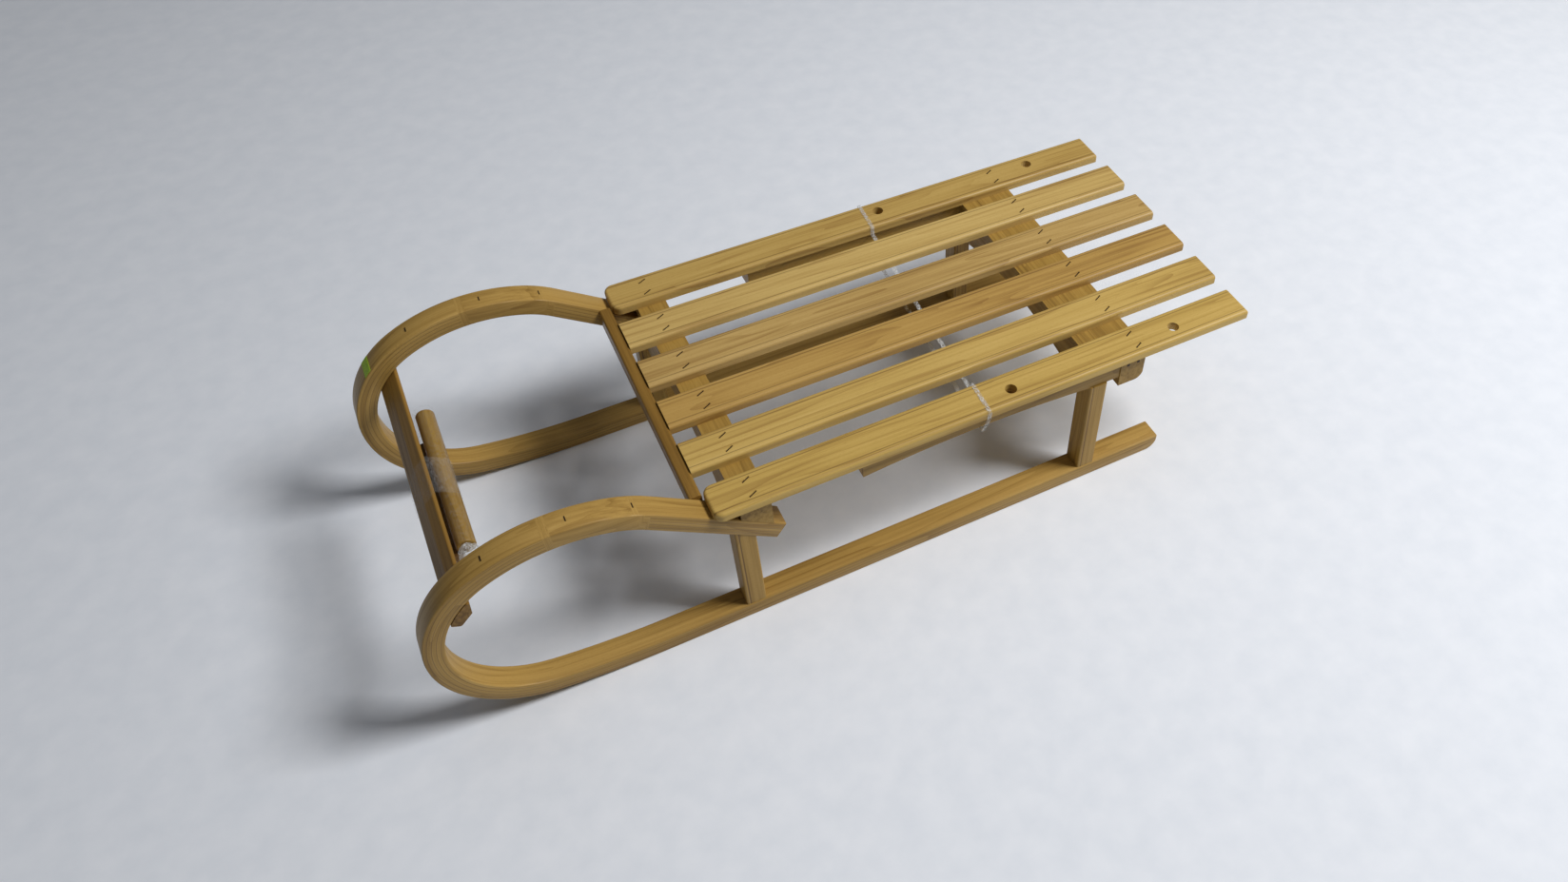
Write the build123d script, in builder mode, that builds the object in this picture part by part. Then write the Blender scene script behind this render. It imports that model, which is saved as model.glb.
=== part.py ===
from build123d import *
import math
import os

# Horned wooden sledge. Millimetres, +X forward to the horns, +Y to the sledge's left, +Z up.
# The origin is on the floor, midway along the sledge and midway between the runners.
# "Station" is the distance forward of the seat slats' rear ends.

# Runner and horn: one laminated strip, flat sole, rising lead, round nose, flatter crown, descent
runner_width = 28.0
runner_thickness = 22.0
runner_gap = 312.0
runner_rear = 91.0
heel_radius = 16.0
sole_end = 752.0
lead_radius = 761.0
lead_angle = 10.0
nose_radius = 129.4
nose_angle = 153.2
crown_radius = 188.1
crown_angle = 200.6
shoulder_radius = 136.0
descent_angle = 216.5
descent_length = 164.1
runner_edge_round = 1.5

# Seat
slat_count = 6
slat_pitch = 68.0
slat_width = 45.0
slat_thickness = 11.5
slat_edge_round = 4.0
slat_corner_round = 2.0
slat_horn_corner_round = 11.0
seat_top = 216.5
seat_clearance = 0.5
post_hole_radius = 7.0
post_hole_offset = 3.5
post_hole_stations = (98.5, 321.0)

# Front bearer, legs and batten, set back from the front end of the outer slats
bearer_setback = 28.5
bearer_depth = 35.0
bearer_centre_height = 33.0
bearer_arch_radius = 247.0
bearer_arch_half_span = 126.0
leg_depth = 23.5
leg_width = 27.0
leg_edge_round = 2.0
front_leg_setback = 18.7
batten_thickness = 14.0
batten_height = 24.0
batten_below_seat = 2.5
batten_edge_round = 2.8
inner_slat_overrun = 1.5

# Rear bearer, rear cross board and side rails
board_rear = 139.0
board_depth = 34.0
board_end_inset = 2.0
board_end_height = 48.0
board_centre_height = 33.0
board_corner_round = 11.0
rear_bearer_depth = 36.0
rear_bearer_centre_height = 35.0
rear_bearer_side_height = 52.0
rail_length = 337.0
rail_width = 25.0
rail_end_height = 33.0
rail_middle_height = 25.0
rear_leg_station = 190.5

# Pull bar under the horns
bar_top_angle = 142.6
bar_bottom_angle = 121.9
bar_rear_face = 20.0
bar_rear_rake = 2.0
bar_chamfer = 14.0
bar_corner_round = 2.5
glue_gap = 0.1

# Staples, nails and dowels
staple_crown = 8.5
staple_wire = 1.1
staple_length = 18.0
staple_spacing = 21.0
staple_turn = 27.0
staple_sink = 0.3
rear_staple_inset = 13.6
staple_pocket = 0.8
horn_staple_crown = 6.5
horn_staple_angles = (159.0, 185.0, 207.0)
nail_head_radius = 2.1
nail_head_thickness = 0.8
nail_shank_radius = 1.0
nail_length = 25.0
nail_pair_spacing = 14.0
dowel_radius = 5.0
dowel_length = 26.0
dowel_in_runner = 12.0

# Packing strap, round the outer slats and rails and under the inner slats
strap_station = 349.0
strap_turn = -3.0
strap_width = 5.0
strap_thickness = 0.5
strap_gap = 0.3

# Packed accessory: two loose dowels in a clear bag tied to the pull bar
spare_dowel_radius = 10.0
spare_dowel_right = -92.0
spare_dowel_left = 104.0
spare_small_radius = 7.0
spare_small_right = -60.0
spare_small_lean = 40.0
spare_end_round = 1.75
spare_gap = 0.6
bag_wall = 0.4
bag_gap = 0.3
bag_overhang = 6.0
pouch_length = 44.0
pouch_radius = 15.5
pouch_set_back = 3.0
wrap_right = -14.0
wrap_left = 38.0
wrap_wall = 0.4
wrap_gap = 0.3

# Plain sticker on the right horn
sticker_angle = 133.0
sticker_length = 12.0
sticker_thickness = 0.3

# Values that follow from the sizes above
nose_centre_x = sole_end + (lead_radius - nose_radius) * math.sin(math.radians(lead_angle))
nose_centre_z = lead_radius - (lead_radius - nose_radius) * math.cos(math.radians(lead_angle))
overall_length = nose_centre_x + nose_radius
half_length = overall_length / 2
horn_inner_y = runner_gap / 2
horn_centre_y = horn_inner_y + runner_width / 2
horn_outer_y = horn_inner_y + runner_width
slat_bottom = seat_top - slat_thickness
half_pattern = slat_pitch * (slat_count - 1) / 2


def at(station):
    return station - half_length


def from_centre(centre, radius, angle):
    """Point on an arc whose tangent has turned through angle from forward."""
    turn = math.radians(angle)
    return centre[0] + radius * math.sin(turn), centre[1] - radius * math.cos(turn)


def next_centre(centre, radius, next_radius, angle):
    return from_centre(centre, radius - next_radius, angle)


nose_centre = (at(nose_centre_x), nose_centre_z)
crown_centre = next_centre(nose_centre, nose_radius, crown_radius, nose_angle)
shoulder_centre = next_centre(crown_centre, crown_radius, shoulder_radius, crown_angle)
descent_start = from_centre(shoulder_centre, shoulder_radius, descent_angle)
descent_slope = math.tan(math.radians(descent_angle))


def horn_top_height(x):
    """Height of the sloping top of the horn's descent."""
    return descent_start[1] + (x - descent_start[0]) * descent_slope


def horn_top_x(height):
    return descent_start[0] + (height - descent_start[1]) / descent_slope


def on_horn(angle):
    """Outer surface of the horn where its tangent has turned through angle."""
    if angle <= nose_angle:
        return from_centre(nose_centre, nose_radius, angle)
    if angle <= crown_angle:
        return from_centre(crown_centre, crown_radius, angle)
    return from_centre(shoulder_centre, shoulder_radius, angle)


horn_drop = runner_thickness / math.cos(math.radians(descent_angle - 180))
seat_rear_x = at(0)
seat_front_x = horn_top_x(slat_bottom - seat_clearance)
inner_seat_front_x = seat_front_x + inner_slat_overrun
bearer_front_x = seat_front_x - bearer_setback
bearer_rear_x = bearer_front_x - bearer_depth
front_leg_front_x = seat_front_x - front_leg_setback
board_rear_x = at(board_rear)
board_front_x = board_rear_x + board_depth
rear_leg_x = at(rear_leg_station)
rear_leg_top = slat_bottom - rail_end_height
leg_outer_y = horn_inner_y + leg_width
leg_centre_y = horn_inner_y + leg_width / 2
front_staple_x = (bearer_front_x + bearer_rear_x) / 2
rear_staple_x = board_rear_x + rear_staple_inset

os.makedirs("parts", exist_ok=True)


def save(piece, name):
    piece.label = name
    export_step(piece, "parts/" + name + ".step")


def slat_y(index):
    """Centre of slat 0, at the right, up to the last, at the left."""
    return index * slat_pitch - half_pattern


# Runner and horn -------------------------------------------------------------


def runner_outline():
    """Edges of the closed side outline of the strip."""
    thick = runner_thickness
    with BuildLine() as outline:
        sole = Line((at(runner_rear) + heel_radius, 0), (at(sole_end), 0))
        lead = JernArc(sole @ 1, (1, 0), lead_radius, lead_angle)
        nose = JernArc(lead @ 1, lead % 1, nose_radius, nose_angle - lead_angle)
        crown = JernArc(nose @ 1, nose % 1, crown_radius, crown_angle - nose_angle)
        shoulder = JernArc(crown @ 1, crown % 1, shoulder_radius, descent_angle - crown_angle)
        descent = Line(shoulder @ 1, shoulder @ 1 + descent_length * (shoulder % 1))
        deck = Line((at(runner_rear), thick), (at(sole_end), thick))
        lead_in = JernArc(deck @ 1, (1, 0), lead_radius - thick, lead_angle)
        nose_in = JernArc(lead_in @ 1, lead_in % 1, nose_radius - thick, nose_angle - lead_angle)
        crown_in = JernArc(nose_in @ 1, nose_in % 1, crown_radius - thick, crown_angle - nose_angle)
        shoulder_in = JernArc(
            crown_in @ 1, crown_in % 1, shoulder_radius - thick, descent_angle - crown_angle
        )
        descent_in = Line(shoulder_in @ 1, shoulder_in @ 1 + descent_length * (shoulder_in % 1))
        Line(descent @ 1, descent_in @ 1)
        heel_top = (at(runner_rear), heel_radius)
        Line(deck @ 0, heel_top)
        RadiusArc(sole @ 0, heel_top, heel_radius)
    return outline.edges()


def dowel_places(side):
    """Foot points of the dowels of one side: front and rear leg, low and high."""
    front_x = front_leg_front_x - leg_depth / 2
    rear_x = rear_leg_x + leg_depth / 2
    low = runner_thickness - dowel_in_runner
    y = side * leg_centre_y
    front_high = horn_top_height(front_x) - horn_drop + dowel_in_runner - dowel_length
    rear_high = rear_leg_top + dowel_in_runner - dowel_length
    return [(front_x, y, low), (rear_x, y, low), (front_x, y, front_high), (rear_x, y, rear_high)]


def dowel_bores(side):
    for place in dowel_places(side):
        with Locations(place):
            Cylinder(
                dowel_radius,
                dowel_length,
                align=(Align.CENTER, Align.CENTER, Align.MIN),
                mode=Mode.SUBTRACT,
            )


def runner(side):
    with BuildPart() as horn:
        with BuildSketch(Plane.XZ.offset(-side * horn_centre_y)):
            make_face(runner_outline())
        extrude(amount=runner_width / 2, both=True)
        rims = horn.faces().filter_by(Axis.Y).edges()
        fillet(rims, radius=runner_edge_round)
        dowel_bores(side)
    return horn.part


save(runner(1), "left_runner")
save(runner(-1), "right_runner")


# Legs ------------------------------------------------------------------------


def front_leg(side):
    """Upright leg whose top is cut to the slope under the horn."""
    rear_x = front_leg_front_x - leg_depth
    with BuildPart() as leg:
        with BuildSketch(Plane.XZ.offset(-side * leg_centre_y)):
            with BuildLine():
                Polyline(
                    (rear_x, runner_thickness),
                    (front_leg_front_x, runner_thickness),
                    (front_leg_front_x, horn_top_height(front_leg_front_x) - horn_drop),
                    (rear_x, horn_top_height(rear_x) - horn_drop),
                    close=True,
                )
            make_face()
        extrude(amount=leg_width / 2, both=True)
        fillet(leg.edges().filter_by(Axis.Z), radius=leg_edge_round)
        dowel_bores(side)
    return leg.part


def rear_leg(side):
    with BuildPart() as leg:
        with BuildSketch(Plane.XY.offset(runner_thickness)):
            with Locations((rear_leg_x + leg_depth / 2, side * leg_centre_y)):
                RectangleRounded(leg_depth, leg_width, leg_edge_round)
        extrude(amount=rear_leg_top - runner_thickness)
        dowel_bores(side)
    return leg.part


save(front_leg(1), "left_front_leg")
save(front_leg(-1), "right_front_leg")
save(rear_leg(1), "left_rear_leg")
save(rear_leg(-1), "right_rear_leg")


# Boards across ---------------------------------------------------------------


def arched_board(half_span, side_height, centre_height, arch_half_span):
    """Edges of the front view of a board with an arched underside."""
    top = slat_bottom
    low = top - side_height
    with BuildLine() as outline:
        arch = ThreePointArc((-arch_half_span, low), (0, top - centre_height), (arch_half_span, low))
        Polyline(
            arch @ 1,
            (half_span, low),
            (half_span, top),
            (-half_span, top),
            (-half_span, low),
            arch @ 0,
        )
    return outline.edges()


arch_rise = bearer_arch_radius - math.sqrt(bearer_arch_radius**2 - bearer_arch_half_span**2)
bearer_side_height = bearer_centre_height + arch_rise

with BuildPart() as front_bearer:
    with BuildSketch(Plane.YZ.offset(bearer_rear_x)):
        make_face(
            arched_board(horn_outer_y, bearer_side_height, bearer_centre_height, bearer_arch_half_span)
        )
    extrude(amount=bearer_depth)
    # The ends are cut to a wedge that lies on the sloping top of each horn
    for side in (1, -1):
        with BuildSketch(Plane.XZ.offset(-side * horn_centre_y)):
            with BuildLine():
                Polyline(
                    (bearer_rear_x, 0),
                    (bearer_front_x, 0),
                    (bearer_front_x, horn_top_height(bearer_front_x)),
                    (bearer_rear_x, horn_top_height(bearer_rear_x)),
                    close=True,
                )
            make_face()
        extrude(amount=runner_width / 2, both=True, mode=Mode.SUBTRACT)
save(front_bearer.part, "front_bearer")

with BuildPart() as rear_bearer:
    with BuildSketch(Plane.YZ.offset(board_front_x)):
        make_face(
            arched_board(
                horn_inner_y,
                rear_bearer_side_height,
                rear_bearer_centre_height,
                bearer_arch_half_span,
            )
        )
    extrude(amount=rear_bearer_depth)
save(rear_bearer.part, "rear_bearer")

board_end_y = horn_outer_y - board_end_inset
with BuildPart() as rear_cross_board:
    with BuildSketch(Plane.YZ.offset(board_rear_x)):
        make_face(
            arched_board(board_end_y, board_end_height, board_centre_height, bearer_arch_half_span)
        )
    extrude(amount=board_depth)
    low_rear = rear_cross_board.edges().filter_by(Axis.Y).group_by(Axis.Z)[0].sort_by(Axis.X)[:2]
    fillet(low_rear, radius=board_corner_round)
save(rear_cross_board.part, "rear_cross_board")


# Side rails ------------------------------------------------------------------


def side_rail(side):
    """Rail under an outer slat, its underside arched between the ends."""
    rear_x = board_front_x
    front_x = rear_x + rail_length
    low = slat_bottom - rail_end_height
    bearing_x = rear_leg_x + leg_depth
    with BuildPart() as rail:
        with BuildSketch(Plane.XZ.offset(-side * (horn_inner_y + rail_width / 2))):
            with BuildLine():
                arch = ThreePointArc(
                    (bearing_x, low),
                    ((bearing_x + front_x) / 2, slat_bottom - rail_middle_height),
                    (front_x, low),
                )
                Polyline(arch @ 1, (front_x, slat_bottom), (rear_x, slat_bottom), (rear_x, low), arch @ 0)
            make_face()
        extrude(amount=rail_width / 2, both=True)
        dowel_bores(side)
        with Locations((at(post_hole_stations[1]), side * (half_pattern + post_hole_offset), slat_bottom)):
            Cylinder(post_hole_radius, 2 * rail_end_height, mode=Mode.SUBTRACT)
    return rail.part


save(side_rail(1), "left_side_rail")
save(side_rail(-1), "right_side_rail")


# Seat slats ------------------------------------------------------------------


def staple_places(x, y, crown_z):
    """Two staples side by side on one slat, turned a little from the slat's length."""
    for offset in (-staple_spacing / 2, staple_spacing / 2):
        yield Location((x, y + offset, crown_z), (0, 0, staple_turn))


def seat_slat(index):
    y = slat_y(index)
    outer = index in (0, slat_count - 1)
    front_x = seat_front_x if outer else inner_seat_front_x
    length = front_x - seat_rear_x
    with BuildPart() as slat:
        with BuildSketch(Plane.XY.offset(slat_bottom)):
            with Locations((seat_rear_x + length / 2, y)):
                Rectangle(length, slat_width)
        extrude(amount=slat_thickness)
        corners = slat.edges().filter_by(Axis.Z)
        if outer:
            fillet(corners.group_by(Axis.X)[-1], radius=slat_horn_corner_round)
            fillet(slat.edges().filter_by(Axis.Z).group_by(Axis.X)[0], radius=slat_corner_round)
        fillet(slat.faces().sort_by(Axis.Z)[-1].edges().filter_by(Axis.X), radius=slat_edge_round)
        for x in (front_staple_x, rear_staple_x):
            with Locations(*staple_places(x, y, seat_top)):
                Box(
                    staple_crown + 2 * staple_wire,
                    2 * staple_wire,
                    2 * staple_pocket,
                    mode=Mode.SUBTRACT,
                )
        if outer:
            side = 1 if index > 0 else -1
            for station in post_hole_stations:
                with Locations((at(station), y + side * post_hole_offset, slat_bottom)):
                    Cylinder(post_hole_radius, 3 * slat_thickness, mode=Mode.SUBTRACT)
    return slat.part


for index in range(slat_count):
    save(seat_slat(index), "seat_slat_" + str(index + 1))


# Batten and pull bar ---------------------------------------------------------

batten_top = seat_top - batten_below_seat
with BuildPart() as front_batten:
    with BuildSketch(Plane.XZ.offset(-horn_inner_y)):
        with BuildLine():
            Polyline(
                (inner_seat_front_x, batten_top - batten_height),
                (inner_seat_front_x + batten_thickness, batten_top - batten_height),
                (inner_seat_front_x + batten_thickness, batten_top),
                (inner_seat_front_x, batten_top),
                close=True,
            )
        make_face()
    extrude(amount=2 * horn_inner_y)
    top_edges = front_batten.edges().filter_by(Axis.Y).group_by(Axis.Z)[-1]
    fillet(top_edges, radius=batten_edge_round)
save(front_batten.part, "front_batten")

bar_radius = nose_radius - runner_thickness - glue_gap
bar_top = from_centre(nose_centre, bar_radius, bar_top_angle)
bar_ridge = from_centre(nose_centre, bar_radius, (bar_top_angle + bar_bottom_angle) / 2)
bar_low = from_centre(nose_centre, bar_radius, bar_bottom_angle)
bar_rear = (bar_top[0] + bar_rear_rake, bar_top[1] - bar_rear_face)
bar_under = (bar_rear[0] + bar_chamfer, bar_rear[1] - bar_chamfer)

with BuildPart() as pull_bar:
    with BuildSketch(Plane.XZ.offset(-horn_outer_y)) as bar_section:
        with BuildLine():
            Polyline(bar_top, bar_ridge, bar_low, bar_under, bar_rear, close=True)
        make_face()
        fillet(bar_section.vertices(), radius=bar_corner_round)
    extrude(amount=2 * horn_outer_y)
save(pull_bar.part, "pull_bar")


# Staples, nails and dowels ---------------------------------------------------


def staple_row(x, name):
    """Every staple in one row across the seat, each a separate solid."""
    with BuildPart() as row:
        for index in range(slat_count):
            with Locations(*staple_places(x, slat_y(index), seat_top - staple_sink)):
                Box(
                    staple_crown + staple_wire,
                    staple_wire,
                    staple_wire,
                    align=(Align.CENTER, Align.CENTER, Align.MAX),
                )
                with Locations((-staple_crown / 2, 0, 0), (staple_crown / 2, 0, 0)):
                    Box(
                        staple_wire,
                        staple_wire,
                        staple_length,
                        align=(Align.CENTER, Align.CENTER, Align.MAX),
                    )
    save(row.part, name)


staple_row(front_staple_x, "front_staples")
staple_row(rear_staple_x, "rear_staples")

with BuildPart() as horn_staples:
    for side in (1, -1):
        for angle in horn_staple_angles:
            spot = on_horn(angle)
            with Locations(Location((spot[0], side * horn_centre_y, spot[1]), (0, 180 - angle, 0))):
                with Locations((0, 0, staple_wire / 2)):
                    Box(
                        staple_wire,
                        horn_staple_crown,
                        staple_wire,
                        align=(Align.CENTER, Align.CENTER, Align.MAX),
                    )
                ends = (staple_wire - horn_staple_crown) / 2
                with Locations((0, ends, 0), (0, -ends, 0)):
                    Box(
                        staple_wire,
                        staple_wire,
                        runner_thickness / 2,
                        align=(Align.CENTER, Align.CENTER, Align.MAX),
                    )
save(horn_staples.part, "horn_staples")

nail_x = board_rear_x + board_depth / 2
nail_z = slat_bottom - board_centre_height / 2
with BuildPart() as board_nails:
    for side in (1, -1):
        for shift in (-nail_pair_spacing / 2, nail_pair_spacing / 2):
            with Locations(Location((nail_x + shift, side * board_end_y, nail_z), (-side * 90, 0, 0))):
                Cylinder(nail_head_radius, nail_head_thickness)
                Cylinder(
                    nail_shank_radius, nail_length, align=(Align.CENTER, Align.CENTER, Align.MAX)
                )
save(board_nails.part, "board_nails")

with BuildPart() as leg_dowels:
    for side in (1, -1):
        with Locations(*dowel_places(side)):
            Cylinder(dowel_radius, dowel_length, align=(Align.CENTER, Align.CENTER, Align.MIN))
save(leg_dowels.part, "leg_dowels")


# Packing strap ---------------------------------------------------------------

strap_plane = Plane(
    origin=(at(strap_station), 0, 0),
    x_dir=(-math.sin(math.radians(strap_turn)), math.cos(math.radians(strap_turn)), 0),
    z_dir=(math.cos(math.radians(strap_turn)), math.sin(math.radians(strap_turn)), 0),
)
strap_stretch = 1 / math.cos(math.radians(strap_turn))
outer_edge = (half_pattern + slat_width / 2) * strap_stretch + strap_gap
inner_edge = half_pattern - slat_width / 2 - strap_gap
rail_outer = (horn_inner_y + rail_width) * strap_stretch + strap_gap
over = seat_top + strap_gap
under_slats = slat_bottom - strap_gap
under_rails = slat_bottom - rail_end_height - strap_gap


def strap_loop(grow):
    """Route of the strap in its own plane, grown outward from the wood by grow."""
    half = [
        (inner_edge - grow, under_slats - strap_thickness + grow),
        (inner_edge - grow, over + grow),
        (outer_edge + grow, over + grow),
        (outer_edge + grow, slat_bottom),
        (rail_outer + grow, under_rails - grow),
    ]
    other = [(-y, z) for y, z in reversed(half)]
    return half + other


with BuildPart() as packing_strap:
    with BuildSketch(strap_plane):
        with BuildLine():
            Polyline(*strap_loop(strap_thickness), close=True)
        make_face()
        with BuildLine():
            Polyline(*strap_loop(0), close=True)
        make_face(mode=Mode.SUBTRACT)
    extrude(amount=strap_width / 2, both=True)
save(packing_strap.part, "packing_strap")


# Packed accessory ------------------------------------------------------------

spare_x = bar_rear[0] - bag_gap - bag_wall - spare_gap - spare_dowel_radius - bar_rear_rake
spare_z = bar_top[1] - bar_rear_face
small_reach = spare_dowel_radius + spare_small_radius + spare_gap
small_x = spare_x + small_reach * math.sin(math.radians(spare_small_lean))
small_z = spare_z - small_reach * math.cos(math.radians(spare_small_lean))


def rod(x, z, radius, right, left):
    """Round rod along Y, between its right and left ends, with eased ends."""
    with BuildPart() as bar:
        with BuildSketch(Plane.XZ.offset(-left)):
            with Locations((x, z)):
                Circle(radius)
        extrude(amount=left - right)
        fillet(bar.edges().filter_by(GeomType.CIRCLE), radius=spare_end_round)
    return bar.part


def film_outline(grow):
    """Taut film round both loose dowels, to be made inside a sketch."""
    with Locations((spare_x, spare_z)):
        Circle(spare_dowel_radius + grow)
    with Locations((small_x, small_z)):
        Circle(spare_small_radius + grow)
    make_hull()


save(rod(spare_x, spare_z, spare_dowel_radius, spare_dowel_right, spare_dowel_left), "spare_dowel")
save(rod(small_x, small_z, spare_small_radius, spare_small_right, spare_dowel_left), "spare_peg")

bag_right = spare_dowel_right - bag_overhang
bag_left = spare_dowel_left + spare_gap
with BuildPart() as accessory_bag:
    with BuildSketch(Plane.XZ.offset(-bag_left)):
        film_outline(bag_gap + bag_wall)
    extrude(amount=bag_left - bag_right)
    with BuildSketch(Plane.XZ.offset(-bag_left)):
        film_outline(bag_gap)
    extrude(amount=bag_left - bag_right - bag_wall, mode=Mode.SUBTRACT)
save(accessory_bag.part, "accessory_bag")

# Small pouch knotted into the open end of the bag
with BuildPart() as fittings_pouch:
    with BuildSketch(Plane.XZ.offset(-bag_left)):
        with Locations((spare_x, spare_z)):
            Circle(spare_dowel_radius)
    with BuildSketch(Plane.XZ.offset(-bag_left - pouch_length / 2)):
        with Locations((spare_x - pouch_set_back, spare_z)):
            Circle(pouch_radius)
    with BuildSketch(Plane.XZ.offset(-bag_left - pouch_length)):
        with Locations((spare_x, spare_z)):
            Circle(pouch_radius / 2)
    loft()
save(fittings_pouch.part, "fittings_pouch")


def wrap_outline(grow):
    """Stretch film pulled round the bar and the bagged dowels."""
    with Locations((spare_x, spare_z)):
        Circle(spare_dowel_radius + bag_gap + bag_wall + grow)
    with Locations((small_x, small_z)):
        Circle(spare_small_radius + bag_gap + bag_wall + grow)
    with Locations(bar_top, bar_ridge, bar_low, bar_under):
        Circle(grow)
    make_hull()


with BuildPart() as stretch_wrap:
    with BuildSketch(Plane.XZ.offset(-wrap_left)):
        wrap_outline(wrap_gap + wrap_wall)
    extrude(amount=wrap_left - wrap_right)
    with BuildSketch(Plane.XZ.offset(-wrap_left)):
        wrap_outline(wrap_gap)
    extrude(amount=wrap_left - wrap_right, mode=Mode.SUBTRACT)
save(stretch_wrap.part, "stretch_wrap")


# Sticker ---------------------------------------------------------------------

half_turn = math.degrees(sticker_length / nose_radius) / 2
low_angle = sticker_angle - half_turn
high_angle = sticker_angle + half_turn
sticker_radius = nose_radius + sticker_thickness

with BuildPart() as sticker:
    with BuildSketch(Plane.XZ.offset(horn_centre_y)):
        with BuildLine():
            under = ThreePointArc(
                from_centre(nose_centre, nose_radius, low_angle),
                from_centre(nose_centre, nose_radius, sticker_angle),
                from_centre(nose_centre, nose_radius, high_angle),
            )
            face = ThreePointArc(
                from_centre(nose_centre, sticker_radius, high_angle),
                from_centre(nose_centre, sticker_radius, sticker_angle),
                from_centre(nose_centre, sticker_radius, low_angle),
            )
            Line(under @ 1, face @ 0)
            Line(face @ 1, under @ 0)
        make_face()
    extrude(amount=runner_width / 2 - runner_edge_round, both=True)
save(sticker.part, "sticker")
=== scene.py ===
import math

import bmesh
import bpy
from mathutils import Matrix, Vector, noise


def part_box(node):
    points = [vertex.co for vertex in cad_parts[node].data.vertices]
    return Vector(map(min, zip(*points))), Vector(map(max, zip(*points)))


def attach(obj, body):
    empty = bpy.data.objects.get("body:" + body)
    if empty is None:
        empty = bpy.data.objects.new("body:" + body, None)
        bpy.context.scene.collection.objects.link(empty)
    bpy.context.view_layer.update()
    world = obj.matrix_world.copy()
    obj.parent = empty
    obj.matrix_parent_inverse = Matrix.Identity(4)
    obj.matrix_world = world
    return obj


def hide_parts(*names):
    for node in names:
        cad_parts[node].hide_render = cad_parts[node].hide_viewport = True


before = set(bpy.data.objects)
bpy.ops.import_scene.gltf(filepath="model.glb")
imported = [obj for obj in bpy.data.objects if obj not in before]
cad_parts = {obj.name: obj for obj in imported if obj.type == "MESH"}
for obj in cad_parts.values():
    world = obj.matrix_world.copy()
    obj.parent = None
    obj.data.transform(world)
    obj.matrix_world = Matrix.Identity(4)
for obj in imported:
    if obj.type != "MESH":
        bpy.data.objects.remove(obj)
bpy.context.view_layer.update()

bpy.ops.object.select_all(action="DESELECT")

# Camera. A hand-held view from the front left and above, about 1.2 m off the floor, looking
# down across the seat. The picture is the middle part of a wider one, so the lens is shifted.
camera_data = bpy.data.cameras.new("camera")
camera = bpy.data.objects.new("camera", camera_data)
bpy.context.collection.objects.link(camera)
camera_data.sensor_width = 36.0
camera_data.lens = 27.361
camera_data.shift_x = -0.101
camera_data.shift_y = -0.0179
camera_data.clip_start = 0.05
camera.location = (0.33318, 0.92388, 1.21596)
camera.rotation_euler = [math.radians(angle) for angle in (40.80322, -1.29655, 152.26827)]
bpy.context.scene.camera = camera
# Colours are shown plainly, with no film look over them
bpy.context.scene.view_settings.view_transform = "Standard"


# Horned runners. Each is one strip of five beech plies glued round a former: flat sole, rising
# lead, round nose, flatter crown, then straight down to the front bearer. The ply edges show on
# both sides as fine dark lines, and the lacquer leaves the nose a little more orange.
def to_linear(code):
    """sRGB hex to the linear colour the shader takes."""
    parts = [int(code[i : i + 2], 16) / 255 for i in (1, 3, 5)]
    return tuple(c / 12.92 if c <= 0.04045 else ((c + 0.055) / 1.055) ** 2.4 for c in parts) + (1.0,)


def add(tree, kind, settings=(), links=(), stops=()):
    """Adds one node, sets its attributes or inputs, links its inputs from (node, output), and
    gives a colour ramp its stops of (place, hex)."""
    node = tree.nodes.new(kind)
    for key, value in dict(settings).items():
        if isinstance(key, str) and hasattr(node, key):
            setattr(node, key, value)
        else:
            node.inputs[key].default_value = value
    for key, (source, output) in dict(links).items():
        tree.links.new(source.outputs[output], node.inputs[key])
    if stops:
        elements = node.color_ramp.elements
        elements[0].position, elements[0].color = stops[0][0], to_linear(stops[0][1])
        elements[1].position, elements[1].color = stops[-1][0], to_linear(stops[-1][1])
        for place, code in stops[1:-1]:
            elements.new(place).color = to_linear(code)
    return node


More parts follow.
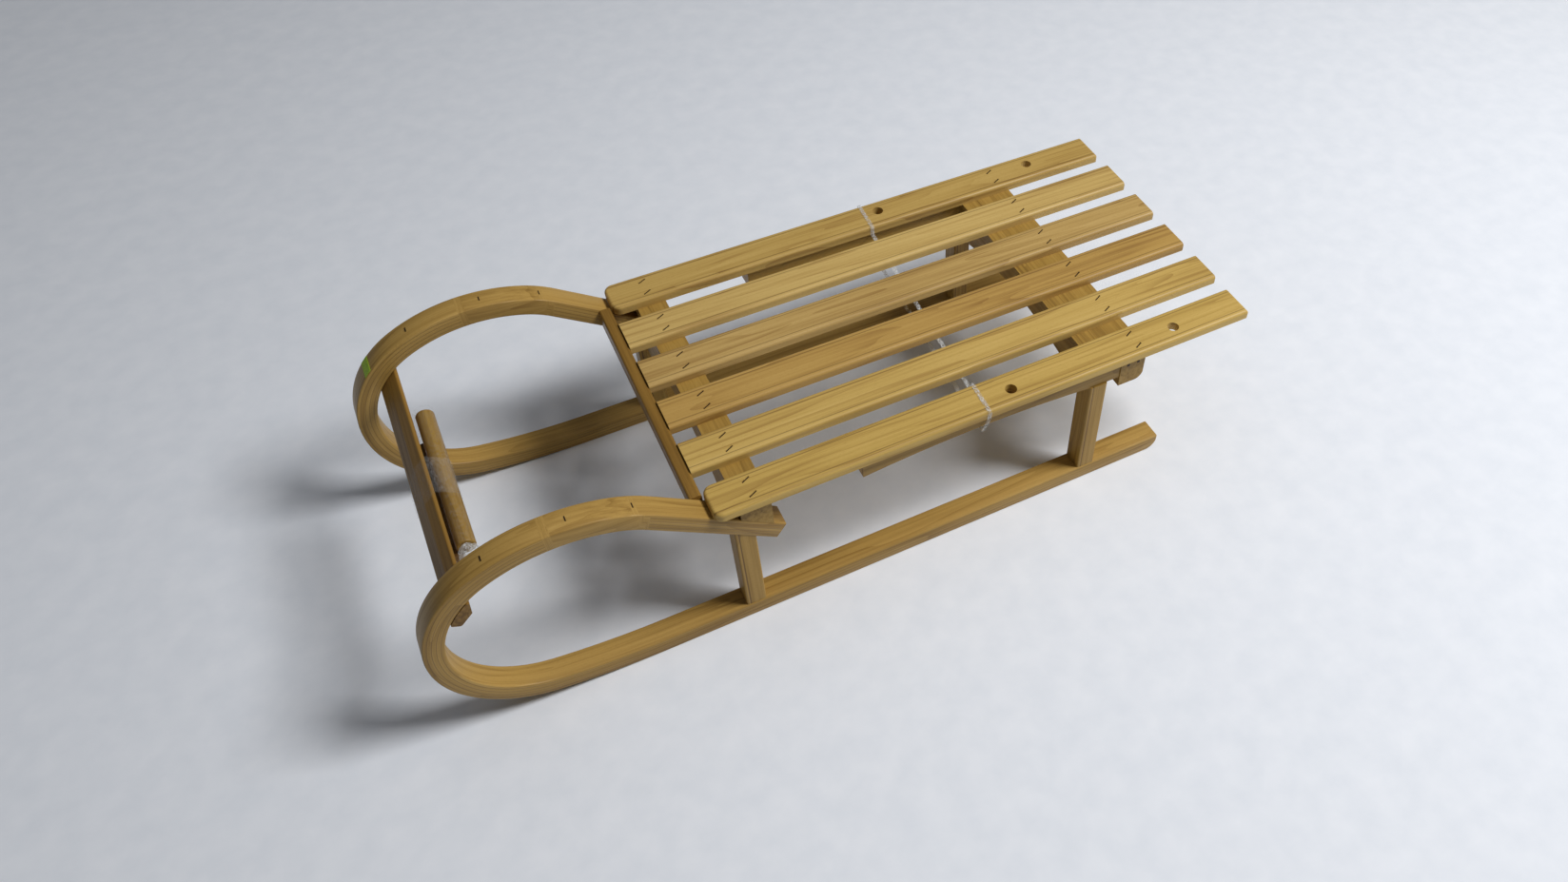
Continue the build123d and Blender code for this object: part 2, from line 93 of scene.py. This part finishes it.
def lacquered_beech(name, grain, pale, middle, dark, seed, marks=None, gloss=0.36):
    """Planed, lacquered beech, IOR 1.5: satin sheen, 1 to 4 mm streaks along the grain, growth
    rings 6 to 15 mm apart, and the short dark flecks, 2 to 4 mm long, that beech shows."""
    material = bpy.data.materials.new(name)
    material.use_nodes = True
    tree = material.node_tree
    shader = tree.nodes["Principled BSDF"]
    output = "Vector"
    if grain == "strip":
        along = add(tree, "ShaderNodeAttribute", {"attribute_name": "grain"})
    else:
        where = add(tree, "ShaderNodeTexCoord")
        split = add(tree, "ShaderNodeSeparateXYZ", links={0: (where, "Object")})
        order = {"x": (0, 1, 2), "y": (1, 0, 2), "z": (2, 0, 1)}[grain]
        along = add(tree, "ShaderNodeCombineXYZ", links={i: (split, order[i]) for i in range(3)})
    # Streaks 4 mm wide and under, drawn out along the grain
    streak_map = add(tree, "ShaderNodeMapping", {"Scale": (4, 260, 200)}, {"Vector": (along, output)})
    streak = add(
        tree,
        "ShaderNodeTexNoise",
        {"noise_dimensions": "4D", "W": seed, "Scale": 1.0, "Detail": 5.0, "Roughness": 0.62},
        {"Vector": (streak_map, 0)},
    )
    # Growth rings, cut through at a slant so that they run out as long flames
    ring_map = add(tree, "ShaderNodeMapping", {"Scale": (1.5, 20, 16)}, {"Vector": (along, output)})
    ring_noise = add(
        tree,
        "ShaderNodeTexNoise",
        {"noise_dimensions": "4D", "W": seed + 3.7, "Scale": 1.0, "Detail": 2.0, "Distortion": 0.6},
        {"Vector": (ring_map, 0)},
    )
    ring_count = add(tree, "ShaderNodeMath", {"operation": "MULTIPLY", 1: 9.0}, {0: (ring_noise, 0)})
    ring = add(tree, "ShaderNodeMath", {"operation": "FRACT"}, {0: (ring_count, 0)})
    ring_edge = add(tree, "ShaderNodeMath", {"operation": "POWER", 1: 3.0}, {0: (ring, 0)})
    # Slow change of tone along and across the board
    tone_map = add(tree, "ShaderNodeMapping", {"Scale": (3, 14, 14)}, {"Vector": (along, output)})
    tone = add(
        tree,
        "ShaderNodeTexNoise",
        {"noise_dimensions": "4D", "W": seed + 9.1, "Scale": 1.0, "Detail": 2.0},
        {"Vector": (tone_map, 0)},
    )
    weigh_streak = add(tree, "ShaderNodeMath", {"operation": "MULTIPLY", 1: 0.9}, {0: (streak, 0)})
    weigh_ring = add(
        tree,
        "ShaderNodeMath",
        {"operation": "MULTIPLY_ADD", 1: 0.16},
        {0: (ring_edge, 0), 2: (weigh_streak, 0)},
    )
    grainy = add(
        tree,
        "ShaderNodeMath",
        {"operation": "MULTIPLY_ADD", 1: 0.55},
        {0: (tone, 0), 2: (weigh_ring, 0)},
    )
    colour = add(
        tree,
        "ShaderNodeValToRGB",
        links={"Fac": (grainy, 0)},
        stops=[(0.45, pale), (0.75, middle), (1.0, dark)],
    )
    # Flecks, 0.5 mm wide and 3 mm long
    fleck_map = add(tree, "ShaderNodeMapping", {"Scale": (260, 1500, 1500)}, {"Vector": (along, output)})
    fleck_noise = add(
        tree,
        "ShaderNodeTexNoise",
        {"noise_dimensions": "4D", "W": seed + 1.3, "Scale": 1.0, "Detail": 1.0},
        {"Vector": (fleck_map, 0)},
    )
    fleck = add(
        tree,
        "ShaderNodeMapRange",
        {"From Min": 0.60, "From Max": 0.72, "To Min": 0.0, "To Max": 0.35},
        {"Value": (fleck_noise, 0)},
    )
    flecked = add(
        tree,
        "ShaderNodeMix",
        {"data_type": "RGBA", 7: to_linear(dark)},
        {0: (fleck, 0), 6: (colour, 0)},
    )
    surface = flecked
    height = streak
    # Marks darken thin lines to #5E4322 and dip them in the bump: the real glue lines on the runners, and
    # painted shade in the bead grooves on the legs and slats.
    if marks is not None:
        line = marks(tree, along, output)
        surface = add(
            tree,
            "ShaderNodeMix",
            {"data_type": "RGBA", 7: to_linear("#5E4322")},
            {0: (line, 0), 6: (flecked, 2)},
        )
        height = add(
            tree,
            "ShaderNodeMath",
            {"operation": "MULTIPLY_ADD", 1: -2.5},
            {0: (line, 0), 2: (streak, 0)},
        )
    tree.links.new(surface.outputs[2], shader.inputs["Base Color"])
    rough = add(
        tree,
        "ShaderNodeMapRange",
        {"From Min": 0.3, "From Max": 0.7, "To Min": gloss - 0.04, "To Max": gloss + 0.14},
        {"Value": (streak, 0)},
    )
    tree.links.new(rough.outputs[0], shader.inputs["Roughness"])
    bump = add(
        tree, "ShaderNodeBump", {"Strength": 0.35, "Distance": 0.0003}, {"Height": (height, 0)}
    )
    tree.links.new(bump.outputs[0], shader.inputs["Normal"])
    shader.inputs["IOR"].default_value = 1.5
    shader.inputs["Specular IOR Level"].default_value = 0.25
    return material


horn_width = 0.028
horn_thick = 0.022
horn_middle = 0.170
heel_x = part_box("left_runner")[0].x
nose_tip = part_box("left_runner")[1].x
lead_turn, nose_turn, crown_turn, descent_turn = 10.0, 153.2, 200.6, 216.5
lead_radius, nose_radius, crown_radius, shoulder_radius = 0.761, 0.1294, 0.1881, 0.136
descent_length = 0.1641
heel_round = 0.0158
edge_round = 0.0016
sole_reach = 0.08
ply_count = 5
glue_wander = 0.0008
bare_face = 0.0012


def on_arc(centre, radius, turn):
    angle = math.radians(turn)
    return (centre[0] + radius * math.sin(angle), centre[1] - radius * math.cos(angle))


nose_centre_x = nose_tip - nose_radius
nose_centre_z = lead_radius - (lead_radius - nose_radius) * math.cos(math.radians(lead_turn))
sole_end = nose_centre_x - (lead_radius - nose_radius) * math.sin(math.radians(lead_turn))
lead_centre = (sole_end, lead_radius)
nose_centre = (nose_centre_x, nose_centre_z)
crown_centre = on_arc(nose_centre, nose_radius - crown_radius, nose_turn)
shoulder_centre = on_arc(crown_centre, crown_radius - shoulder_radius, crown_turn)
bends = (
    (lead_centre, lead_radius, 0.0, lead_turn, 10),
    (nose_centre, nose_radius, lead_turn, nose_turn, 48),
    (crown_centre, crown_radius, nose_turn, crown_turn, 18),
    (shoulder_centre, shoulder_radius, crown_turn, descent_turn, 6),
)


def along_strip(x, z):
    """Distance along the strip and depth from its outer face, for a point on it."""
    if z < sole_reach and x <= sole_end:
        return x - heel_x, z
    start = sole_end - heel_x
    for centre, radius, first, last, steps in bends:
        dx, dz = x - centre[0], z - centre[1]
        turn = math.degrees(math.atan2(dx, -dz)) % 360
        if first - 0.01 <= turn <= last + 0.01 and math.hypot(dx, dz) > radius * 0.5:
            return start + math.radians(turn - first) * radius, radius - math.hypot(dx, dz)
        start += math.radians(last - first) * radius
    corner = on_arc(shoulder_centre, shoulder_radius, descent_turn)
    way = math.radians(descent_turn)
    ahead = (math.cos(way), math.sin(way))
    dx, dz = x - corner[0], z - corner[1]
    return start + dx * ahead[0] + dz * ahead[1], -dx * ahead[1] + dz * ahead[0]


def bent_strip(name, y):
    """Extrudes the strip's section along the sole and spins it round each bend."""
    bpy.ops.object.select_all(action="DESELECT")
    bpy.ops.mesh.primitive_plane_add(size=1.0, location=(heel_x, y, horn_thick / 2))
    strip = bpy.context.object
    strip.name = name
    strip.rotation_euler = (0, math.radians(90), 0)
    strip.scale = (horn_thick, horn_width, 1)
    bpy.ops.object.transform_apply(location=True, rotation=True, scale=True)
    bpy.ops.object.mode_set(mode="EDIT")
    bpy.ops.mesh.select_all(action="SELECT")
    for part in range(8):
        bpy.ops.mesh.extrude_region_move(
            TRANSFORM_OT_translate={"value": ((sole_end - heel_x) / 8, 0, 0)}
        )
    for centre, radius, first, last, steps in bends:
        bpy.ops.mesh.spin(
            steps=steps,
            angle=math.radians(last - first),
            center=(centre[0], y, centre[1]),
            axis=(0, 1, 0),
        )
    way = math.radians(descent_turn)
    run = (descent_length * math.cos(way), 0, descent_length * math.sin(way))
    bpy.ops.mesh.extrude_region_move(TRANSFORM_OT_translate={"value": run})
    bpy.ops.mesh.select_all(action="SELECT")
    bpy.ops.mesh.remove_doubles(threshold=0.00005)
    bpy.ops.mesh.normals_make_consistent(inside=False)
    bpy.ops.object.mode_set(mode="OBJECT")
    return strip


def round_heel(strip):
    """The lower rear corner of the sole is rounded so that it slides back over a bump."""
    mesh = strip.data
    shape = bmesh.new()
    shape.from_mesh(mesh)
    foot = [
        edge
        for edge in shape.edges
        if all(abs(v.co.x - heel_x) < 1e-5 and v.co.z < 1e-5 for v in edge.verts)
    ]
    bmesh.ops.bevel(shape, geom=foot, offset=heel_round, segments=8, profile=0.5, affect="EDGES")
    shape.to_mesh(mesh)
    shape.free()


def ply_lines(tree, along, output):
    """Dark glue lines, 0.5 mm wide, between the plies: seen on the sides of the strip only."""
    split = add(tree, "ShaderNodeSeparateXYZ", links={0: (along, output)})
    wander_map = add(tree, "ShaderNodeMapping", {"Scale": (14, 0, 0)}, {"Vector": (along, output)})
    wander = add(tree, "ShaderNodeTexNoise", {"Scale": 1.0, "Detail": 2.0}, {"Vector": (wander_map, 0)})
    drift = add(
        tree,
        "ShaderNodeMath",
        {"operation": "MULTIPLY_ADD", 1: glue_wander},
        {0: (wander, 0), 2: (split, 2)},
    )
    plies = add(
        tree,
        "ShaderNodeMath",
        {"operation": "MULTIPLY", 1: ply_count / (horn_thick + glue_wander)},
        {0: (drift, 0)},
    )
    within = add(tree, "ShaderNodeMath", {"operation": "FRACT"}, {0: (plies, 0)})
    from_line = add(tree, "ShaderNodeMath", {"operation": "PINGPONG", 1: 0.5}, {0: (within, 0)})
    thin = add(
        tree,
        "ShaderNodeMapRange",
        {"From Min": 0.03, "From Max": 0.11, "To Min": 0.62, "To Max": 0.0},
        {"Value": (from_line, 0)},
    )
    # No line shows within 1.2 mm of the strip's outer and inner faces
    depth = add(tree, "ShaderNodeMath", {"operation": "SUBTRACT", 1: horn_thick / 2}, {0: (split, 2)})
    off_middle = add(tree, "ShaderNodeMath", {"operation": "ABSOLUTE"}, {0: (depth, 0)})
    inside = add(
        tree,
        "ShaderNodeMath",
        {"operation": "LESS_THAN", 1: horn_thick / 2 - bare_face},
        {0: (off_middle, 0)},
    )
    return add(tree, "ShaderNodeMath", {"operation": "MULTIPLY"}, {0: (thin, 0), 1: (inside, 0)})


def finish_strip(strip, seed):
    """Eases the long edges and stores the grain's own directions on every vertex."""
    bevel = strip.modifiers.new("eased", "BEVEL")
    bevel.width = edge_round
    bevel.segments = 3
    bevel.limit_method = "ANGLE"
    bevel.angle_limit = math.radians(40)
    bpy.context.view_layer.objects.active = strip
    bpy.ops.object.modifier_apply(modifier="eased")
    mesh = strip.data
    grain = mesh.attributes.new("grain", "FLOAT_VECTOR", "POINT")
    for vertex in mesh.vertices:
        length, depth = along_strip(vertex.co.x, vertex.co.z)
        grain.data[vertex.index].vector = (length, vertex.co.y, depth)
    bpy.ops.object.select_all(action="DESELECT")
    strip.select_set(True)
    bpy.ops.object.shade_smooth_by_angle(angle=math.radians(30))
    mesh.materials.append(
        lacquered_beech(
            strip.name + " bent beech", "strip", "#C09D58", "#AD8A48", "#8D6C33", seed, ply_lines, 0.36
        )
    )
    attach(strip, "root")


left_strip = bent_strip("horned_runner_left", horn_middle)
round_heel(left_strip)
finish_strip(left_strip, 2.0)
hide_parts("left_runner")
right_strip = bent_strip("horned_runner_right", -horn_middle)
round_heel(right_strip)
finish_strip(right_strip, 31.0)
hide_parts("right_runner")


# Legs. Four short uprights of solid beech, grain upright, rounded corners, glued and dowelled
# to the runners; the front pair is cut to the slope of the horns. A bead runs down each side;
# the dark line of its groove is painted shade.
def dress(name, material):
    """Gives a carried-over piece its finish."""
    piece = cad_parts[name]
    if piece.material_slots:
        for holder in piece.material_slots:
            holder.material = material
    else:
        piece.data.materials.append(material)


bead_behind_face = 0.0042


def leg_bead_shade(front_x):
    """Painted shade in the bead's groove: a dark line 1 mm wide, 4 mm behind the leg's front face, on its
    sides.
    """

    def line(tree, along, output):
        split = add(tree, "ShaderNodeSeparateXYZ", links={0: (along, output)})
        bead_x = front_x - bead_behind_face
        back = add(tree, "ShaderNodeMath", {"operation": "SUBTRACT", 1: bead_x}, {0: (split, 1)})
        off = add(tree, "ShaderNodeMath", {"operation": "ABSOLUTE"}, {0: (back, 0)})
        return add(
            tree,
            "ShaderNodeMapRange",
            {"From Min": 0.0004, "From Max": 0.0010, "To Min": 0.75, "To Max": 0.0},
            {"Value": (off, 0)},
        )

    return line


for number, name in enumerate(("left_front_leg", "right_front_leg", "left_rear_leg", "right_rear_leg")):
    dress(
        name,
        lacquered_beech(
            name + " beech",
            "z",
            "#BA9650",
            "#A6833F",
            "#85642C",
            50.0 + 7 * number,
            leg_bead_shade(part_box(name)[1].x),
        ),
    )


# Boards across. The front bearer, the rear bearer and the rear cross board are sawn from 34 mm
# beech with arched undersides; the grain runs from side to side.
for number, name in enumerate(("front_bearer", "rear_bearer", "rear_cross_board")):
    dress(
        name,
        lacquered_beech(
            name + " beech", "y", "#B2904A", "#9F7D3A", "#7C5E27", 80.0 + 9 * number, gloss=0.4
        ),
    )


# Side rails. A rail under each outer slat, its lower edge hollowed, grain along the sledge.
for number, name in enumerate(("left_side_rail", "right_side_rail")):
    dress(
        name,
        lacquered_beech(name + " beech", "x", "#B4914A", "#A17E3A", "#7F6027", 120.0 + 5 * number),
    )


# Seat slats. Six beech slats with rounded top edges and a fine bead cut beside each one, the
# dark line of its groove painted shade. They are the palest wood on the sledge, and no two are
# quite the same colour.
bead_from_middle = 0.0163
bead_half_width = 0.0006


# Painted shade: a dark line about 1 mm wide in each bead's groove, 16.3 mm either side of the slat's
# middle.
def slat_bead_shade(middle):
    def line(tree, along, output):
        split = add(tree, "ShaderNodeSeparateXYZ", links={0: (along, output)})
        across = add(tree, "ShaderNodeMath", {"operation": "SUBTRACT", 1: middle}, {0: (split, 1)})
        off = add(tree, "ShaderNodeMath", {"operation": "ABSOLUTE"}, {0: (across, 0)})
        gap = add(tree, "ShaderNodeMath", {"operation": "SUBTRACT", 1: bead_from_middle}, {0: (off, 0)})
        near = add(tree, "ShaderNodeMath", {"operation": "ABSOLUTE"}, {0: (gap, 0)})
        return add(
            tree,
            "ShaderNodeMapRange",
            {
                "From Min": bead_half_width * 0.4,
                "From Max": bead_half_width * 1.6,
                "To Min": 0.55,
                "To Max": 0.0,
            },
            {"Value": (near, 0)},
        )

    return line


slat_tones = (
    ("#C8A862", "#B99853", "#97733A"),
    ("#D4B671", "#C5A561", "#A38046"),
    ("#CCAC6D", "#BC9B5C", "#9A7841"),
    ("#C4A05B", "#B5904D", "#926D37"),
    ("#D4B46C", "#C5A45A", "#A27F41"),
    ("#D0AF65", "#C09F54", "#9E7B3D"),
)
for number, tones in enumerate(slat_tones):
    name = "seat_slat_" + str(number + 1)
    low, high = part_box(name)
    dress(
        name,
        lacquered_beech(
            name + " beech", "x", *tones, 200.0 + 11 * number, slat_bead_shade((low.y + high.y) / 2), 0.38
        ),
    )


# Front batten and pull bar. The batten closes the front of the seat between the horns; the bar
# joins the horns under their noses and is where a rope is tied. Both are darker, denser pieces.
dress("front_batten", lacquered_beech("batten beech", "y", "#9E7A3A", "#8A672C", "#674A1C", 301.0))
dress("pull_bar", lacquered_beech("pull bar beech", "y", "#A27C3C", "#8C692E", "#67491C", 311.0))


# Staples and nails. Round steel wire, resin coated and gone brown, driven a little below the
# surface.
def darkened_wire(name):
    """Oxidised steel wire: metallic, rough 0.5, browner where the resin coat has worn."""
    material = bpy.data.materials.new(name)
    material.use_nodes = True
    tree = material.node_tree
    shader = tree.nodes["Principled BSDF"]
    where = add(tree, "ShaderNodeTexCoord")
    # Patches of rust about 1 mm across
    patch = add(tree, "ShaderNodeTexNoise", {"Scale": 900.0, "Detail": 3.0}, {"Vector": (where, "Object")})
    colour = add(
        tree,
        "ShaderNodeValToRGB",
        links={"Fac": (patch, 0)},
        stops=[(0.35, "#2A211A"), (0.6, "#4A3826"), (0.8, "#6E5A44")],
    )
    tree.links.new(colour.outputs[0], shader.inputs["Base Color"])
    rough = add(
        tree, "ShaderNodeMapRange", {"To Min": 0.35, "To Max": 0.65}, {"Value": (patch, 0)}
    )
    tree.links.new(rough.outputs[0], shader.inputs["Roughness"])
    bump = add(tree, "ShaderNodeBump", {"Strength": 0.3, "Distance": 0.0001}, {"Height": (patch, 0)})
    tree.links.new(bump.outputs[0], shader.inputs["Normal"])
    shader.inputs["Metallic"].default_value = 0.7
    return material


wire = darkened_wire("darkened steel wire")
for name in ("front_staples", "rear_staples", "horn_staples", "board_nails"):
    dress(name, wire)


# Leg dowels. Plain beech dowels glued inside the joints; they don't show from outside.
dress("leg_dowels", lacquered_beech("dowel beech", "z", "#C9AB73", "#B99A60", "#9A7C46", 331.0))


# Spare dowels. Two loose turned rods of the accessory set, sanded and pale.
dress("spare_dowel", lacquered_beech("spare dowel beech", "y", "#A5843F", "#8F6F31", "#6F521F", 341.0))
dress("spare_peg", lacquered_beech("spare peg beech", "y", "#8A6634", "#745227", "#553A18", 351.0))


# Clear films. The bag round the dowels, the stretch film that ties them to the bar, the small
# pouch knotted at the end and the strap round the seat are thin clear polyethylene: soft,
# creased, with bright highlights along the creases.
def clear_film(name, cover, crease_mm):
    """Polyethylene film, IOR 1.5: mostly clear, with a painted highlight along its creases, where it is
    paler and less clear.
    """
    material = bpy.data.materials.new(name)
    material.use_nodes = True
    tree = material.node_tree
    shader = tree.nodes["Principled BSDF"]
    where = add(tree, "ShaderNodeTexCoord")
    scale = 1000.0 / crease_mm
    crease = add(
        tree,
        "ShaderNodeTexNoise",
        {"Scale": scale, "Detail": 4.0, "Distortion": 1.4, "Roughness": 0.6},
        {"Vector": (where, "Object")},
    )
    fold = add(tree, "ShaderNodeMath", {"operation": "SUBTRACT", 1: 0.5}, {0: (crease, 0)})
    ridge = add(tree, "ShaderNodeMath", {"operation": "ABSOLUTE"}, {0: (fold, 0)})
    # Painted highlight: along the creases the film turns more opaque.
    crease_highlight = add(
        tree,
        "ShaderNodeMapRange",
        {"From Min": 0.0, "From Max": 0.035, "To Min": min(1.0, cover * 10), "To Max": cover},
        {"Value": (ridge, 0)},
    )
    tree.links.new(crease_highlight.outputs[0], shader.inputs["Alpha"])
    # Painted highlight: the film's colour is paler along the creases.
    colour = add(
        tree,
        "ShaderNodeValToRGB",
        links={"Fac": (ridge, 0)},
        stops=[(0.0, "#F2F4F2"), (0.1, "#D8DCD8")],
    )
    tree.links.new(colour.outputs[0], shader.inputs["Base Color"])
    rough = add(
        tree,
        "ShaderNodeMapRange",
        {"From Min": 0.3, "From Max": 0.7, "To Min": 0.08, "To Max": 0.3},
        {"Value": (crease, 0)},
    )
    tree.links.new(rough.outputs[0], shader.inputs["Roughness"])
    bump = add(tree, "ShaderNodeBump", {"Strength": 0.8, "Distance": 0.0015}, {"Height": (crease, 0)})
    tree.links.new(bump.outputs[0], shader.inputs["Normal"])
    shader.inputs["IOR"].default_value = 1.5
    return material


most_halvings = 14


def film_piece(name, node, step, crumple, crease, material, sunk=0.0):
    """A finely divided copy of the film's solid, its skin moved in and out by small creases.
    A solid wad of film is sunk a little, so that its creases stay inside the solid."""
    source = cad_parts[node]
    piece = source.copy()
    piece.data = source.data.copy()
    piece.parent = None
    piece.name = name
    bpy.context.collection.objects.link(piece)
    bpy.ops.object.select_all(action="DESELECT")
    piece.select_set(True)
    bpy.context.view_layer.objects.active = piece
    bpy.ops.object.mode_set(mode="EDIT")
    bpy.ops.mesh.select_all(action="SELECT")
    bpy.ops.mesh.remove_doubles(threshold=0.00001)
    bpy.ops.object.mode_set(mode="OBJECT")
    if sunk:
        skin = piece.modifiers.new("even skin", "REMESH")
        skin.mode = "VOXEL"
        skin.voxel_size = step
        bpy.ops.object.modifier_apply(modifier="even skin")
    shape = bmesh.new()
    shape.from_mesh(piece.data)
    for turn in range(0 if sunk else most_halvings):
        long_edges = [edge for edge in shape.edges if edge.calc_length() > step]
        if not long_edges:
            break
        bmesh.ops.subdivide_edges(shape, edges=long_edges, cuts=1, use_grid_fill=False)
        bmesh.ops.triangulate(shape, faces=[f for f in shape.faces if len(f.verts) > 3])
    shape.normal_update()
    for vertex in shape.verts:
        here = vertex.co.copy()
        push = noise.noise(here / crease) + 0.5 * noise.noise(here / (crease * 0.4) + Vector((7, 3, 1)))
        vertex.co = here + vertex.normal * (push - sunk) * crumple
    shape.to_mesh(piece.data)
    shape.free()
    piece.data.materials.clear()
    piece.data.materials.append(material)
    bpy.ops.object.select_all(action="DESELECT")
    piece.select_set(True)
    bpy.ops.object.shade_smooth_by_angle(angle=math.radians(50))
    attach(piece, "root")
    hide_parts(node)
    return piece


bag_film = clear_film("polyethylene bag film", 0.006, 7.0)
wrap_film = clear_film("polyethylene stretch film", 0.012, 4.0)
pouch_film = clear_film("crumpled polyethylene", 0.12, 3.0)
strap_film = clear_film("clear stretch strap", 0.07, 6.0)
film_piece("bag_round_dowels", "accessory_bag", 0.005, 0.0003, 0.008, bag_film)
film_piece("film_round_bar", "stretch_wrap", 0.003, 0.00025, 0.004, wrap_film)
film_piece("pouch_of_fittings", "fittings_pouch", 0.0011, 0.0018, 0.005, pouch_film, 1.2)
film_piece("strap_round_seat", "packing_strap", 0.006, 0.00005, 0.006, strap_film)


# Sticker. A plain lime-green paper label stuck round the outside of the right horn, its print
# left off; the paper is slightly mottled.
sticker = bpy.data.materials.new("lime coated paper")
sticker.use_nodes = True
sticker_tree = sticker.node_tree
paper_shader = sticker_tree.nodes["Principled BSDF"]
paper_place = add(sticker_tree, "ShaderNodeTexCoord")
# Mottle about 2 mm across
mottle = add(
    sticker_tree, "ShaderNodeTexNoise", {"Scale": 500.0, "Detail": 3.0}, {"Vector": (paper_place, "Object")}
)
paper_colour = add(
    sticker_tree,
    "ShaderNodeValToRGB",
    links={"Fac": (mottle, 0)},
    stops=[(0.35, "#B4D21A"), (0.55, "#9CC20A"), (0.75, "#83A606")],
)
sticker_tree.links.new(paper_colour.outputs[0], paper_shader.inputs["Base Color"])
paper_rough = add(
    sticker_tree, "ShaderNodeMapRange", {"To Min": 0.45, "To Max": 0.6}, {"Value": (mottle, 0)}
)
sticker_tree.links.new(paper_rough.outputs[0], paper_shader.inputs["Roughness"])
paper_bump = add(
    sticker_tree, "ShaderNodeBump", {"Strength": 0.2, "Distance": 0.0001}, {"Height": (mottle, 0)}
)
sticker_tree.links.new(paper_bump.outputs[0], paper_shader.inputs["Normal"])
dress("sticker", sticker)


# Floor and light. A pale grey matt floor, a large soft light above and behind the sledge on its
# left, a wider and weaker one overhead, and a dim even sky.
bpy.ops.object.select_all(action="DESELECT")
bpy.ops.mesh.primitive_plane_add(size=14.0, location=(0, 0, 0))
floor = bpy.context.object
floor.name = "floor"
ground = bpy.data.materials.new("pale matt paper floor")
ground.use_nodes = True
ground_shader = ground.node_tree.nodes["Principled BSDF"]
ground_place = add(ground.node_tree, "ShaderNodeTexCoord")
# Mottle about 30 mm across
ground_noise = add(
    ground.node_tree,
    "ShaderNodeTexNoise",
    {"Scale": 30.0, "Detail": 6.0},
    {"Vector": (ground_place, "Object")},
)
ground_colour = add(
    ground.node_tree,
    "ShaderNodeValToRGB",
    links={"Fac": (ground_noise, 0)},
    stops=[(0.3, "#E6EAEE"), (0.7, "#EDF0F3")],
)
ground.node_tree.links.new(ground_colour.outputs[0], ground_shader.inputs["Base Color"])
ground_shader.inputs["Roughness"].default_value = 0.9
floor.data.materials.append(ground)


def soft_light(name, place, aim, size, power, colour):
    data = bpy.data.lights.new(name, "AREA")
    data.shape = "SQUARE"
    data.size = size
    data.energy = power
    data.color = to_linear(colour)[:3]
    lamp = bpy.data.objects.new(name, data)
    bpy.context.collection.objects.link(lamp)
    lamp.location = place
    lamp.rotation_euler = (Vector(aim) - Vector(place)).to_track_quat("-Z", "Y").to_euler()


soft_light("key", (-2.2, 1.2, 3.3), (0.1, 0.0, 0.1), 1.25, 148.0, "#FCFCFF")
soft_light("fill", (0.3, -0.3, 2.9), (0.0, 0.0, 0.1), 2.4, 8.0, "#F6F8FF")
world = bpy.data.worlds.new("sky")
world.use_nodes = True
world.node_tree.nodes["Background"].inputs["Color"].default_value = to_linear("#E8EDF6")
world.node_tree.nodes["Background"].inputs["Strength"].default_value = 0.085
bpy.context.scene.world = world
